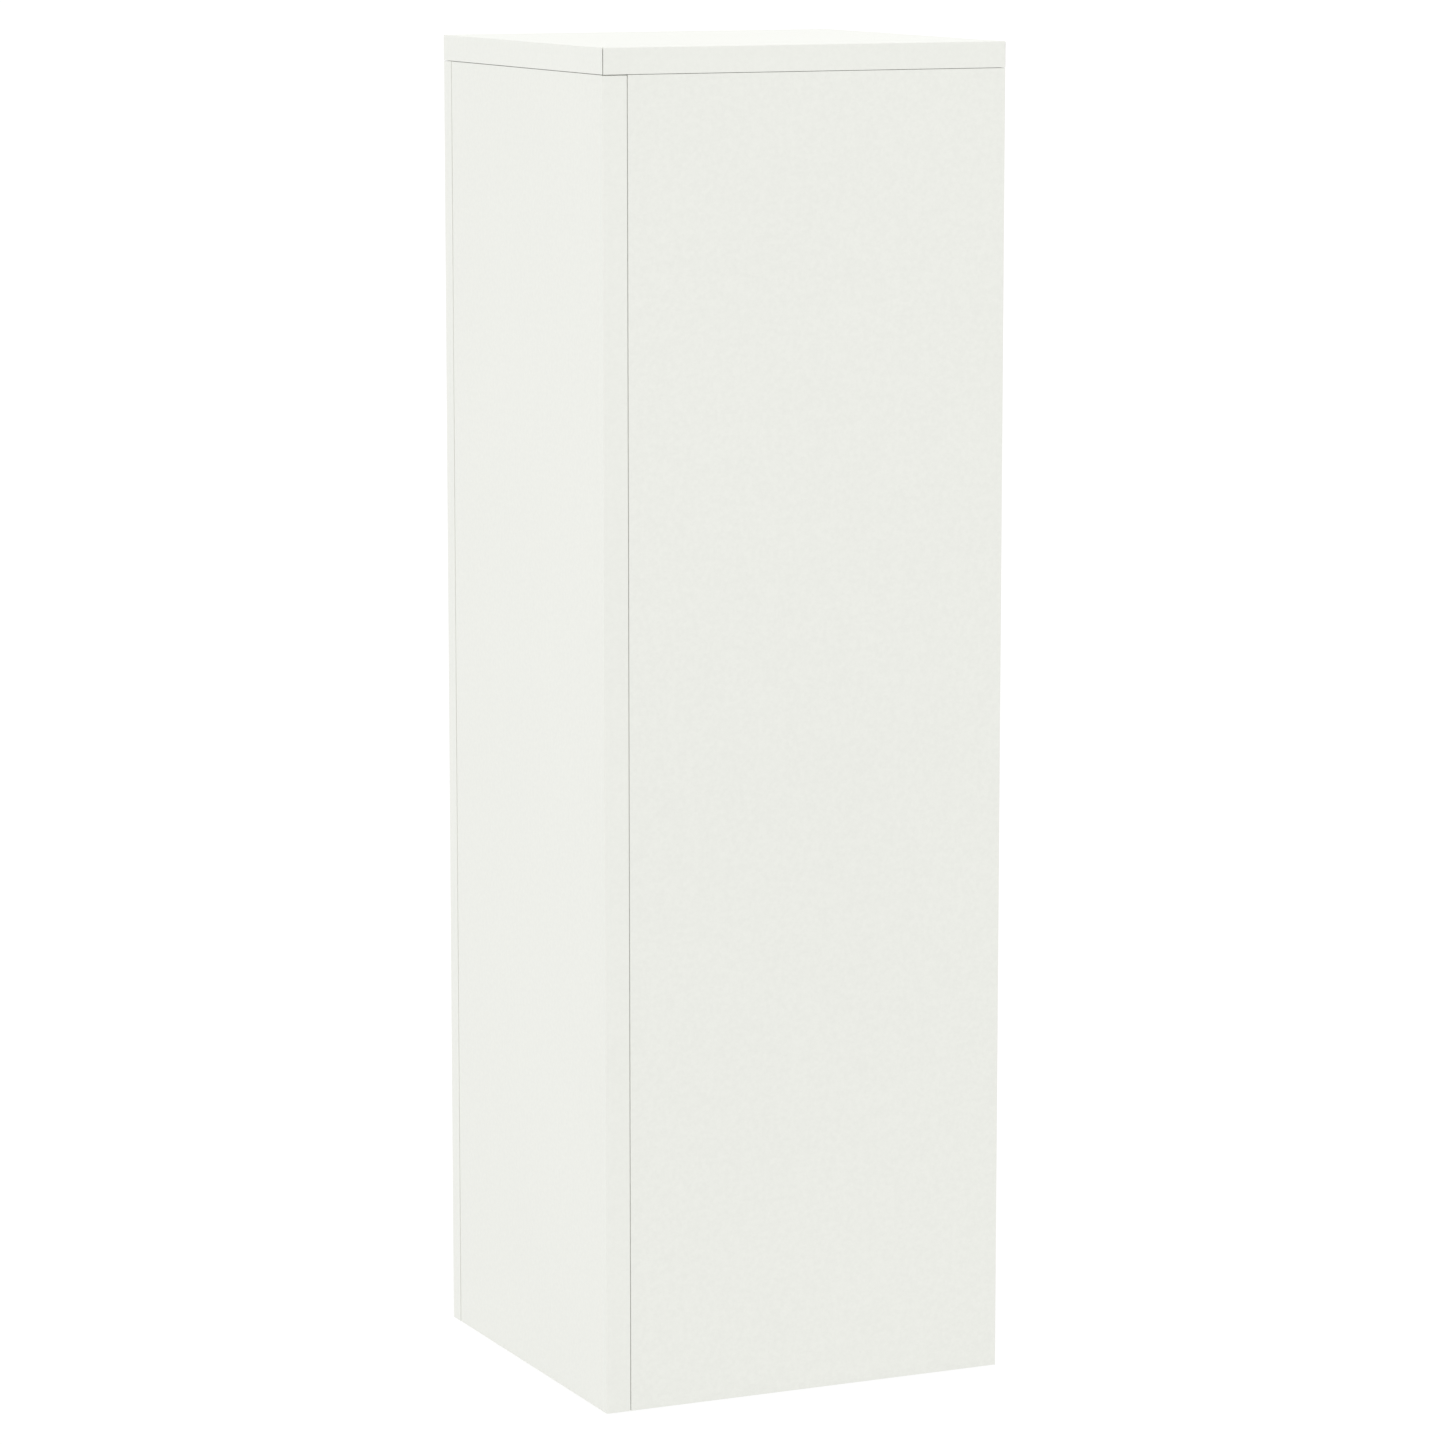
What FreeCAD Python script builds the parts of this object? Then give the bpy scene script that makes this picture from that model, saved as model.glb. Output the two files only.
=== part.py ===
"""Tall locker cabinet with one handleless door, as separate pieces, in millimetres.

The row frame has +Z up, the front towards -Y and the origin on the floor under the cabinet's centre.
The door overlays the right side panel, and the left side panel runs forward beside the door.
"""
import FreeCAD
import Part
import Sketcher
import os
from FreeCAD import Rotation, Vector

doc = FreeCAD.newDocument("LockerCabinet")

# ---------------------------------------------------------------- driving dimensions

DIMENSIONS = {
    "width": 320,             # over the side panels
    "depth": 300,             # from the door's face to the back panel's rear face
    "height": 995,            # floor to the top of the top panel
    "board": 19,              # thickness of every board but the back
    "back_board": 16,         # thickness of the back panel
    "band": 1,                # thickness of the edge bands
    "soft_edge": 0.6,         # rounding of the bands' outer edges
    "corner_joint": 0.45,     # each of the top's bands stops this short of its mitred corner
    "top_joint": 0.45,        # height of the fine rebate under the top's edges
    "joint_deep": 3,          # and how far it runs in
    "strip_joint": 0.7,       # the rebate is a little higher over the left panel's front edge
    "back_joint": 1.2,        # fine slot in front of the back panel's bands
    "foot_lift": 1.5,         # the glides hold the boards this far off the floor
    "door_gap": 0.4,          # slot beside the door
    "door_top_gap": 0.3,      # and above it
    "door_set": 3,            # air between the door's back and the carcass
    "shelf_set": 3,           # shelves stand back from the carcass front
    "shelf_play": 0.5,        # side play of a loose shelf
    "middle_shelf": 499,      # centre height of the fixed shelf
    "shelf_rise": 243.25,     # loose shelves lie this far below and above it
    "cam_bore": 15,           # cam housing bore
    "cam_depth": 12.5,
    "cam_inset": 24,          # cam centre to the board's end
    "bolt_bore": 8,           # bore for the cam bolt's shaft, and for a dowel
    "bolt_thread": 5,         # bore for the cam bolt's thread, and for a shelf pin
    "thread_depth": 11,
    "dowel_long": 30,
    "fixing_front": 85,       # fixings in front of the centre line
    "fixing_rear": 100,       # and behind it
    "dowel_shift": 32,        # dowel to cam spacing
    "pin_pitch": 32,          # shelf pin holes
    "pin_rows": 5,
    "pin_front": 95,          # front and rear columns of pin holes
    "pin_rear": 97,
    "play": 0.1,              # radial air round a fastener in its bore
    "pilot": 3.4,             # bore for a wood screw's thread
    "door_pilot_depth": 12.5,
    "plate_pilot_depth": 13,
    "back_pilot_depth": 36,
    "back_clear": 4.4,        # the back screws' bore through the back, and its countersink
    "sink_across": 8.6,
    "sink_depth": 3,
    "wall_hole": 5,           # wall fixing holes in the back panel
    "wall_spread": 224,
    "wall_height": 940,
    "glide_across": 22,
    "glide_sink": 2,          # the glides sit this deep in the floor board
    "glide_x": 115,
    "glide_y": 109,
    "hinge_low": 100,         # heights of the three hinges
    "hinge_mid": 560,
    "hinge_high": 880,
    "cup_bore": 35,
    "cup_depth": 11.5,
    "cup_wall": 0.8,
    "cup_screw_in": 6,        # cup screws from the cup's centre
    "cup_screw_rise": 24,
    "cup_in": 21.5,           # cup centre to the door's hinged edge
    "flange": 1,              # flange on the door's back
    "link_in": 25,            # outer link's pivot on the arm, from the door's edge and back
    "link_up": 7,
    "cup_pin_in": 11,         # outer link's pivot in the cup
    "cup_pin_down": 7,
    "inner_in": 36.5,         # inner link's pivot on the arm
    "inner_up": 5,
    "nose_in": 16,            # inner link's open end in the cup
    "nose_down": 3.8,
    "pin_across": 2.4,        # hinge pins
    "arm_wide": 19.2,
    "arm_sheet": 1.2,
    "plate_line": 40,         # plate screws behind the door's back
    "plate_screw_rise": 16,   # and above and below the hinge's height
    "plate_sheet": 2.4,
    "latch_height": 560,
    "latch_long": 62,
    "latch_across": 16,
    "plunger_across": 8,
    "ear_rise": 13,           # the latch's screws above and below its middle
    "ear_sheet": 2.5,
    "strike": 1.2,            # thickness of the strike plate
    "strike_recess": 0.8,     # and depth of the recess for its screw's head
}

sizes = doc.addObject("Spreadsheet::Sheet", "Sizes")
for row, (alias, value) in enumerate(DIMENSIONS.items(), start=1):
    sizes.set(f"A{row}", alias.replace("_", " "))
    sizes.set(f"B{row}", str(value))
    sizes.setAlias(f"B{row}", alias)
doc.recompute()

# Places in the row frame, as expressions over the sheet
SIDE = "(Sizes.width / 2)"
INNER = "(Sizes.width / 2 - Sizes.board)"
FRONT = "(-Sizes.depth / 2)"
DOOR_BACK = "(Sizes.board - Sizes.depth / 2)"
CARCASS_FRONT = "(Sizes.board + Sizes.door_set - Sizes.depth / 2)"
BACK_INSIDE = "(Sizes.depth / 2 - Sizes.back_board)"
REAR = "(Sizes.depth / 2)"
FOOT = "Sizes.foot_lift"
TOP_UNDER = "(Sizes.height - Sizes.board)"
FLOOR_BOARD = "(Sizes.foot_lift + Sizes.board / 2)"
LOW_SHELF = "(Sizes.middle_shelf - Sizes.shelf_rise)"
HIGH_SHELF = "(Sizes.middle_shelf + Sizes.shelf_rise)"
HINGES = ("Sizes.hinge_low", "Sizes.hinge_mid", "Sizes.hinge_high")

AXES = "XYZ"
PLANES = {"X": "YZ_Plane", "Y": "XZ_Plane", "Z": "XY_Plane"}
TURNS = {
    "+X": Rotation(Vector(0, 1, 0), 90),
    "-X": Rotation(Vector(0, 1, 0), -90),
    "+Y": Rotation(Vector(1, 0, 0), -90),
    "-Y": Rotation(Vector(1, 0, 0), 90),
    "+Z": Rotation(),
    "-Z": Rotation(Vector(1, 0, 0), 180),
}
corners = {}
extents = {}


# ---------------------------------------------------------------- boards: PartDesign bodies

def value_of(expression):
    """The number that an expression over the sheet gives now."""
    value = sizes.evalExpression(expression)
    return float(getattr(value, "Value", value))


def place(thing, at):
    """Bind a Placement's position to three expressions."""
    for axis, expression in zip("xyz", at):
        thing.setExpression(f"Placement.Base.{axis}", expression)


def new_sketch(body, axis, lift="0"):
    """A sketch on the body's origin plane across the axis, lifted along that plane's normal."""
    plane = [item for item in body.Origin.OriginFeatures if item.Role == PLANES[axis]][0]
    sketch = body.newObject("Sketcher::SketchObject", body.Name + "_sketch")
    sketch.AttachmentSupport = [(plane, "")]
    sketch.MapMode = "FlatFace"
    sketch.setExpression("AttachmentOffset.Base.z", lift)
    return sketch


def draw_rectangle(sketch, wide, high):
    """A rectangle from the sketch's origin, its sides bound to two expressions."""
    spots = [Vector(0, 0, 0), Vector(50, 0, 0), Vector(50, 50, 0), Vector(0, 50, 0)]
    for number in range(4):
        sketch.addGeometry(Part.LineSegment(spots[number], spots[(number + 1) % 4]))
    for number in range(4):
        sketch.addConstraint(Sketcher.Constraint("Coincident", number, 2, (number + 1) % 4, 1))
    for number, kind in enumerate(("Horizontal", "Vertical", "Horizontal", "Vertical")):
        sketch.addConstraint(Sketcher.Constraint(kind, number))
    sketch.addConstraint(Sketcher.Constraint("Coincident", 0, 1, -1, 1))
    wide_at = sketch.addConstraint(Sketcher.Constraint("DistanceX", 0, 1, 0, 2, 50))
    high_at = sketch.addConstraint(Sketcher.Constraint("DistanceY", 1, 1, 1, 2, 50))
    sketch.setExpression(f"Constraints[{wide_at}]", wide)
    sketch.setExpression(f"Constraints[{high_at}]", high)


def draw_outline(sketch, points):
    """A closed outline of straight lines, each corner bound to two expressions."""
    spots = [Vector(value_of(along), value_of(across), 0) for along, across in points]
    count = len(spots)
    for number in range(count):
        sketch.addGeometry(Part.LineSegment(spots[number], spots[(number + 1) % count]))
    for number in range(count):
        sketch.addConstraint(Sketcher.Constraint("Coincident", number, 2, (number + 1) % count, 1))
    for number, (along, across) in enumerate(points):
        for kind, expression, value in (("DistanceX", along, spots[number].x),
                                        ("DistanceY", across, spots[number].y)):
            rule = sketch.addConstraint(Sketcher.Constraint(kind, -1, 1, number, 1, value))
            sketch.setExpression(f"Constraints[{rule}]", expression)


def board(name, corner, size, thin):
    """A flat board: a rectangle across its thin axis, padded to its thickness."""
    body = doc.addObject("PartDesign::Body", name)
    body.Label = name
    place(body, corner)
    corners[name] = corner
    extents[name] = size
    across = [number for number in range(3) if AXES[number] != thin]
    sketch = new_sketch(body, thin)
    draw_rectangle(sketch, size[across[0]], size[across[1]])
    pad = body.newObject("PartDesign::Pad", name + "_pad")
    pad.Profile = sketch
    pad.Reversed = thin == "Y"
    pad.setExpression("Length", size[AXES.index(thin)])
    doc.recompute()
    return body


def mitred_band(name, points, lift, high):
    """An edge band of the top: a four-sided outline in the row's XY plane, padded upwards."""
    body = doc.addObject("PartDesign::Body", name)
    body.Label = name
    place(body, ("0", "0", lift))
    sketch = new_sketch(body, "Z")
    draw_outline(sketch, points)
    pad = body.newObject("PartDesign::Pad", name + "_pad")
    pad.Profile = sketch
    pad.setExpression("Length", high)
    doc.recompute()
    return body


def check_removed(body, before):
    """Stop if the last feature took nothing away."""
    if body.Shape.Volume > before - 1:
        raise RuntimeError(f"{body.Tip.Name} removes nothing from {body.Name}")


def drill(body, face, spots, across, deep):
    """Round blind holes from one face of a board, at spots given in the row frame."""
    before = body.Shape.Volume
    axis = face[1]
    number = AXES.index(axis)
    size = extents[body.Name][number]
    far = face[0] == "+"
    lift = "0"
    if far:
        lift = f"-({size})" if axis == "Y" else size
    sketch = new_sketch(body, axis, lift)
    flat = [item for item in range(3) if item != number]
    for spot in spots:
        circle = sketch.addGeometry(Part.Circle(Vector(20, 20, 0), Vector(0, 0, 1), 2))
        for kind, side in zip(("DistanceX", "DistanceY"), flat):
            rule = sketch.addConstraint(Sketcher.Constraint(kind, -1, 1, circle, 3, 20))
            start = corners[body.Name][side]
            sketch.setExpression(f"Constraints[{rule}]", f"({spot[side]}) - ({start})")
        rule = sketch.addConstraint(Sketcher.Constraint("Diameter", circle, 4))
        sketch.setExpression(f"Constraints[{rule}]", across)
    pocket = body.newObject("PartDesign::Pocket", body.Name + "_holes")
    pocket.Profile = sketch
    pocket.Reversed = far == (axis == "Y")
    pocket.setExpression("Length", deep)
    doc.recompute()
    check_removed(body, before)
    return pocket


def pattern(body, feature, lengths):
    """Repeat a feature along the sketch's two axes: each entry is axis, span and count."""
    before = body.Shape.Volume
    steps = body.newObject("PartDesign::MultiTransform", feature.Name + "_rows")
    body.Tip = steps
    steps.Originals = [feature]
    rows = []
    for axis, span, count in lengths:
        row = body.newObject("PartDesign::LinearPattern", feature.Name + "_row")
        row.Direction = (feature.Profile[0], [axis])
        row.setExpression("Length", span)
        row.setExpression("Occurrences", count)
        rows.append(row)
    steps.Transformations = rows
    body.Tip = steps
    doc.recompute()
    check_removed(body, before)


def lies_on(edge, face, box):
    """Whether an edge lies on one of the six faces of a box."""
    axis = AXES.index(face[1])
    limits = (box.XMax, box.YMax, box.ZMax) if face[0] == "+" else (box.XMin, box.YMin, box.ZMin)
    return all(abs(vertex.Point[axis] - limits[axis]) < 1e-6 for vertex in edge.Vertexes)


def rebate(body, low, high, deep="Sizes.top_joint"):
    """The fine step down along a board's top edge, over a rectangle given in the row frame."""
    before = body.Shape.Volume
    start = corners[body.Name]
    outline = [(low[0], low[1]), (high[0], low[1]), (high[0], high[1]), (low[0], high[1])]
    points = [(f"({x}) - ({start[0]})", f"({y}) - ({start[1]})") for x, y in outline]
    sketch = new_sketch(body, "Z", extents[body.Name][2])
    draw_outline(sketch, points)
    pocket = body.newObject("PartDesign::Pocket", body.Name + "_rebate")
    pocket.Profile = sketch
    pocket.setExpression("Length", deep)
    doc.recompute()
    check_removed(body, before)


def soften(body, faces, along, radius="Sizes.soft_edge"):
    """Round the straight edges that lie on all the given outer faces and run along given axes."""
    base = body.Tip
    names = []
    for number, edge in enumerate(base.Shape.Edges, start=1):
        if edge.Curve.TypeId != "Part::GeomLine":
            continue
        run = edge.Vertexes[1].Point - edge.Vertexes[0].Point
        way = AXES[max(range(3), key=lambda side: abs(run[side]))]
        if way in along and all(lies_on(edge, face, base.Shape.BoundBox) for face in faces):
            names.append(f"Edge{number}")
    fillet = body.newObject("PartDesign::Fillet", body.Name + "_soft")
    fillet.Base = (base, names)
    fillet.setExpression("Radius", radius)
    doc.recompute()
    return fillet


# ---------------------------------------------------------------- hardware: Part primitives

def rod(name, at, way, radius, length):
    """A cylinder from a point, along one of the six row directions."""
    item = doc.addObject("Part::Cylinder", name)
    item.Placement.Rotation = TURNS[way]
    place(item, at)
    item.setExpression("Radius", radius)
    item.setExpression("Height", length)
    return item


def cone(name, at, way, first, last, length):
    """A cone frustum from a point, along one of the six row directions."""
    item = doc.addObject("Part::Cone", name)
    item.Placement.Rotation = TURNS[way]
    place(item, at)
    item.setExpression("Radius1", first)
    item.setExpression("Radius2", last)
    item.setExpression("Height", length)
    return item


def block(name, corner, size):
    """A rectangular block from its lowest corner."""
    item = doc.addObject("Part::Box", name)
    place(item, corner)
    for side, expression in zip(("Length", "Width", "Height"), size):
        item.setExpression(side, expression)
    return item


def join(name, items):
    """One solid from touching items."""
    fused = doc.addObject("Part::MultiFuse", name)
    fused.Shapes = items
    fused.Label = name
    return fused


def carve(name, base, tool):
    """The base less the tool."""
    rest = doc.addObject("Part::Cut", name)
    rest.Base = base
    rest.Tool = tool
    rest.Label = name
    return rest


def group(name, items):
    """Identical pieces kept as separate solids in one node."""
    kept = doc.addObject("Part::Compound", name)
    kept.Links = items
    kept.Label = name
    return kept


def shift(at, **moves):
    """A place moved by expressions along named axes."""
    moved = list(at)
    for axis, expression in moves.items():
        number = "xyz".index(axis)
        moved[number] = f"({moved[number]}) + ({expression})"
    return tuple(moved)


def cross_recess(name, top, outof, long, across, deep):
    """Two crossed slots, sunk into a head from its top."""
    axis = AXES.index(outof[1])
    arms = []
    for turn in (1, 2):
        size = [across, across, across]
        size[axis] = deep
        size[(axis + turn) % 3] = long
        corner = [f"({at}) - ({side}) / 2" for at, side in zip(top, size)]
        corner[axis] = top[axis] if outof[0] == "-" else f"({top[axis]}) - ({deep})"
        arms.append(block(name + "_slot", corner, size))
    return join(name + "_cross", arms)


def make_screw(name, spot, into, outof, head, shank):
    """A pan-head cross screw from its seat: head and shank are radius and length pairs."""
    solid = join(name + "_solid", [
        rod(name + "_head", spot, outof, *head),
        rod(name + "_shank", spot, into, *shank),
    ])
    sign = "-" if outof[0] == "-" else ""
    top = shift(spot, **{outof[1].lower(): f"{sign}({head[1]})"})
    return carve(name, solid, cross_recess(name, top, outof, "4", "0.9", f"0.7 * {head[1]}"))


def hinge_spot(inward, upward, height):
    """A place in a hinge: inwards from the door's hinged edge, and behind the door's back."""
    return (f"{SIDE} - ({inward})", f"{DOOR_BACK} + ({upward})", height)


def hinge_profile(name, height, points, wide):
    """A flat profile in the hinge's frame, extruded evenly to both sides of the hinge's height."""
    sketch = doc.addObject("Sketcher::SketchObject", name + "_sketch")
    sketch.Placement.Rotation = Rotation(Vector(0, 1, 0), 180)
    place(sketch, hinge_spot("0", "0", height))
    draw_outline(sketch, points)
    solid = doc.addObject("Part::Extrusion", name)
    solid.Base = sketch
    solid.DirMode = "Normal"
    solid.Solid = True
    solid.Symmetric = True
    solid.setExpression("LengthFwd", wide)
    return solid


# ---------------------------------------------------------------- carcass

BAND = "Sizes.band"
BOARD = "Sizes.board"
SIDE_HIGH = f"({TOP_UNDER} - {FOOT})"
MIDDLE_Y = f"(({CARCASS_FRONT} + {BACK_INSIDE}) / 2)"
WALL_MIDDLES = (f"(-{SIDE} + {BOARD} / 2)", f"({SIDE} - {BOARD} / 2)")
BOLT_SPOTS = [f"({MIDDLE_Y} - Sizes.fixing_front)", f"({MIDDLE_Y} + Sizes.fixing_front)"]
DOWEL_SPOTS = [f"({spot} {sign} Sizes.dowel_shift)" for spot, sign in zip(BOLT_SPOTS, "+-")]
SCREW_HEIGHTS = ["100", "390", "680", "940"]
LATCH_SCREW_Y = f"({CARCASS_FRONT} + 20)"


def make_top():
    """The top slab over the walls and the door, with its bands mitred at the front corners."""
    top = board(
        "top_panel",
        (f"{BAND} - {SIDE}", f"{FRONT} + {BAND}", TOP_UNDER),
        (f"Sizes.width - 2 * {BAND}", f"Sizes.depth - {BAND}", BOARD),
        "Z",
    )
    threads = [(wall, spot, "0") for wall in WALL_MIDDLES for spot in BOLT_SPOTS]
    drill(top, "-Z", threads, "Sizes.bolt_thread", "Sizes.thread_depth")
    dowels = [(wall, spot, "0") for wall in WALL_MIDDLES for spot in DOWEL_SPOTS]
    drill(top, "-Z", dowels, "Sizes.bolt_bore", "Sizes.thread_depth")

    joint = "Sizes.corner_joint"
    inner_end = f"({SIDE} - {BAND} - {joint})"
    front = mitred_band(
        "top_front_band",
        [(f"{joint} - {SIDE}", FRONT), (f"{SIDE} - {joint}", FRONT),
         (inner_end, f"{FRONT} + {BAND}"), (f"-{inner_end}", f"{FRONT} + {BAND}")],
        TOP_UNDER,
        BOARD,
    )
    soften(front, ("-Y", "+Z"), "X")
    soften(top, ("-Y",), "Z", f"2 * {BAND}")
    for name, sign, face in (("top_left_band", "-", "-X"), ("top_right_band", "", "+X")):
        outer = f"{sign}{SIDE}"
        core = f"{sign}({SIDE} - {BAND})"
        band = mitred_band(
            name,
            [(outer, f"{FRONT} + {joint}"), (core, f"{FRONT} + {BAND} + {joint}"),
             (core, REAR), (outer, REAR)],
            TOP_UNDER,
            BOARD,
        )
        soften(band, (face, "+Z"), "Y")


def drill_side(panel, inside):
    """The fittings' holes that both side panels share."""
    cams = [("0", spot, f"{TOP_UNDER} - Sizes.cam_inset") for spot in BOLT_SPOTS]
    drill(panel, inside, cams, "Sizes.cam_bore", "Sizes.cam_depth")
    middle = WALL_MIDDLES[0] if inside == "+X" else WALL_MIDDLES[1]
    bolts = [(middle, spot, "0") for spot in BOLT_SPOTS]
    drill(panel, "+Z", bolts, "Sizes.bolt_bore", "Sizes.cam_inset")
    dowels = [(middle, spot, "0") for spot in DOWEL_SPOTS]
    drill(panel, "+Z", dowels, "Sizes.bolt_bore", "Sizes.dowel_long - Sizes.thread_depth + 1")
    for height in (FLOOR_BOARD, "Sizes.middle_shelf"):
        threads = [("0", spot, height) for spot in BOLT_SPOTS]
        drill(panel, inside, threads, "Sizes.bolt_thread", "Sizes.thread_depth")
        dowels = [("0", spot, height) for spot in DOWEL_SPOTS]
        drill(panel, inside, dowels, "Sizes.bolt_bore", "Sizes.thread_depth")
    for shelf in (LOW_SHELF, HIGH_SHELF):
        lowest = f"{shelf} - {BOARD} / 2 - Sizes.bolt_thread / 2 - 2 * Sizes.pin_pitch"
        pins = drill(
            panel, inside,
            [("0", f"{MIDDLE_Y} - Sizes.pin_front", lowest)],
            "Sizes.bolt_thread", "Sizes.thread_depth",
        )
        pattern(panel, pins, [
            ("H_Axis", "Sizes.pin_front + Sizes.pin_rear", "2"),
            ("V_Axis", "(Sizes.pin_rows - 1) * Sizes.pin_pitch", "Sizes.pin_rows"),
        ])
    screws = [(middle, "0", height) for height in SCREW_HEIGHTS]
    drill(panel, "+Y", screws, "Sizes.pilot", "Sizes.back_pilot_depth")


def make_sides():
    """The left panel runs forward beside the door, and the right one stops behind it."""
    left = board(
        "left_side_panel",
        (f"-{SIDE}", f"{FRONT} + {BAND}", FOOT),
        (BOARD, f"{BACK_INSIDE} - {FRONT} - {BAND}", SIDE_HIGH),
        "X",
    )
    soften(left, ("-X", "-Z"), "Y", "Sizes.soft_edge / 2")
    step_in = "Sizes.joint_deep"
    rebate(left, (f"-{SIDE}", f"{FRONT} + {BAND}"), (f"{step_in} - {SIDE}", BACK_INSIDE))
    rebate(left, (f"-{SIDE}", f"{FRONT} + {BAND}"), (f"-{INNER}", f"{FRONT} + {step_in}"),
           "Sizes.strip_joint")
    drill_side(left, "+X")
    ears = [("0", LATCH_SCREW_Y, f"Sizes.latch_height {sign} Sizes.ear_rise") for sign in "-+"]
    drill(left, "+X", ears, "3", "11")
    front = board(
        "left_front_band",
        (f"-{SIDE}", FRONT, FOOT),
        (BOARD, BAND, f"{SIDE_HIGH} - Sizes.strip_joint"),
        "Y",
    )
    soften(front, ("-Y",), "XZ")

    right = board(
        "right_side_panel",
        (INNER, f"{CARCASS_FRONT} + {BAND}", FOOT),
        (BOARD, f"{BACK_INSIDE} - {CARCASS_FRONT} - {BAND}", SIDE_HIGH),
        "X",
    )
    soften(right, ("+X", "-Z"), "Y", "Sizes.soft_edge / 2")
    rebate(right, (f"{SIDE} - {step_in}", f"{CARCASS_FRONT} + {BAND}"), (SIDE, BACK_INSIDE))
    drill_side(right, "-X")
    plate_screws = [
        ("0", f"{DOOR_BACK} + Sizes.plate_line", f"{height} {sign} Sizes.plate_screw_rise")
        for height in HINGES for sign in "-+"
    ]
    drill(right, "-X", plate_screws, "Sizes.pilot", "Sizes.plate_pilot_depth")
    front = board(
        "right_front_band",
        (INNER, CARCASS_FRONT, FOOT),
        (BOARD, BAND, SIDE_HIGH),
        "Y",
    )
    soften(front, ("-Y",), "XZ")


def make_back():
    """A full-thickness back over the rear edges of the walls, with its fixing holes."""
    back = board(
        "back_panel",
        (f"{BAND} - {SIDE}", BACK_INSIDE, FOOT),
        (f"Sizes.width - 2 * {BAND}", "Sizes.back_board", SIDE_HIGH),
        "Y",
    )
    step_in = "Sizes.joint_deep"
    rebate(back, (f"{BAND} - {SIDE}", BACK_INSIDE), (f"{step_in} - {SIDE}", REAR))
    rebate(back, (f"{SIDE} - {step_in}", BACK_INSIDE), (f"{SIDE} - {BAND}", REAR))
    rebate(back, (f"{BAND} - {SIDE}", f"{REAR} - {step_in}"), (f"{SIDE} - {BAND}", REAR))
    screws = [(wall, "0", height) for wall in WALL_MIDDLES for height in SCREW_HEIGHTS]
    drill(back, "+Y", screws, "Sizes.back_clear", "Sizes.back_board")
    drill(back, "+Y", screws, "Sizes.sink_across", "Sizes.sink_depth")
    wall_holes = [(f"{sign}Sizes.wall_spread / 2", "0", "Sizes.wall_height") for sign in ("-", "")]
    drill(back, "+Y", wall_holes, "Sizes.wall_hole", "Sizes.back_board")
    for name, corner_x, face in (("back_left_band", f"-{SIDE}", "-X"),
                                 ("back_right_band", f"{SIDE} - {BAND}", "+X")):
        band = board(
            name,
            (corner_x, f"{BACK_INSIDE} + Sizes.back_joint", FOOT),
            (BAND, "Sizes.back_board - Sizes.back_joint", f"{SIDE_HIGH} - Sizes.top_joint"),
            "X",
        )
        soften(band, (face, "+Y"), "Z")


def make_fixed_board(name, centre):
    """A board between the sides, drawn up by cams in its underside."""
    panel = board(
        name,
        (f"-{INNER}", f"{CARCASS_FRONT} + Sizes.shelf_set + {BAND}", f"{centre} - {BOARD} / 2"),
        (f"2 * {INNER}", f"{BACK_INSIDE} - {CARCASS_FRONT} - Sizes.shelf_set - {BAND}", BOARD),
        "Z",
    )
    ends = (f"(-{INNER} + Sizes.cam_inset)", f"({INNER} - Sizes.cam_inset)")
    cams = [(end, spot, "0") for end in ends for spot in BOLT_SPOTS]
    drill(panel, "-Z", cams, "Sizes.cam_bore", "Sizes.cam_depth")
    for face in ("-X", "+X"):
        bolts = [("0", spot, centre) for spot in BOLT_SPOTS]
        drill(panel, face, bolts, "Sizes.bolt_bore", "Sizes.cam_inset")
        dowels = [("0", spot, centre) for spot in DOWEL_SPOTS]
        drill(panel, face, dowels, "Sizes.bolt_bore", "Sizes.dowel_long - Sizes.thread_depth + 1")
    return panel


def make_shelf_band(name, half, centre):
    """The edge band on a shelf's front edge."""
    band = board(
        name,
        (f"-({half})", f"{CARCASS_FRONT} + Sizes.shelf_set", f"{centre} - {BOARD} / 2"),
        (f"2 * ({half})", BAND, BOARD),
        "Y",
    )
    soften(band, ("-Y",), "X")


def make_shelves():
    """The floor board, the fixed middle shelf and two loose shelves."""
    floor = make_fixed_board("bottom_panel", FLOOR_BOARD)
    feet = [
        (f"{x_sign}Sizes.glide_x", f"{y_sign}Sizes.glide_y", "0")
        for x_sign in ("-", "") for y_sign in ("-", "")
    ]
    drill(floor, "-Z", feet, "Sizes.glide_across + 2 * Sizes.play", "Sizes.glide_sink")
    drill(floor, "-Z", feet, "3", "Sizes.glide_sink + 12")
    make_shelf_band("bottom_band", INNER, FLOOR_BOARD)
    make_fixed_board("middle_shelf", "Sizes.middle_shelf")
    make_shelf_band("middle_shelf_band", INNER, "Sizes.middle_shelf")
    half = f"{INNER} - Sizes.shelf_play"
    for name, centre in (("lower_shelf", LOW_SHELF), ("upper_shelf", HIGH_SHELF)):
        board(
            name,
            (f"-({half})", f"{CARCASS_FRONT} + Sizes.shelf_set + {BAND}",
             f"{centre} - {BOARD} / 2"),
            (f"2 * ({half})",
             f"{BACK_INSIDE} - {CARCASS_FRONT} - Sizes.shelf_set - {BAND} - 2", BOARD),
            "Z",
        )
        make_shelf_band(name + "_band", half, centre)


# ---------------------------------------------------------------- carcass fastenings

WALLS = (("-X", f"-{INNER}"), ("+X", INNER))
OPPOSITE = {"-X": "+X", "+X": "-X"}


def make_cam(name, centre, way, mouth, passage):
    """A cam housing from its open face, with the bolt's passage cut to its centre."""
    disc = rod(name, centre, way, "Sizes.cam_bore / 2 - Sizes.play", "Sizes.cam_depth - 0.2")
    hole = rod(name + "_passage", mouth, passage, "3.9", "Sizes.cam_inset")
    outof = ("-" if way[0] == "+" else "+") + way[1]
    recess = cross_recess(name, centre, outof, "8", "1.6", "2")
    return carve(name + "_cut", disc, join(name + "_tools", [hole, recess]))


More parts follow.
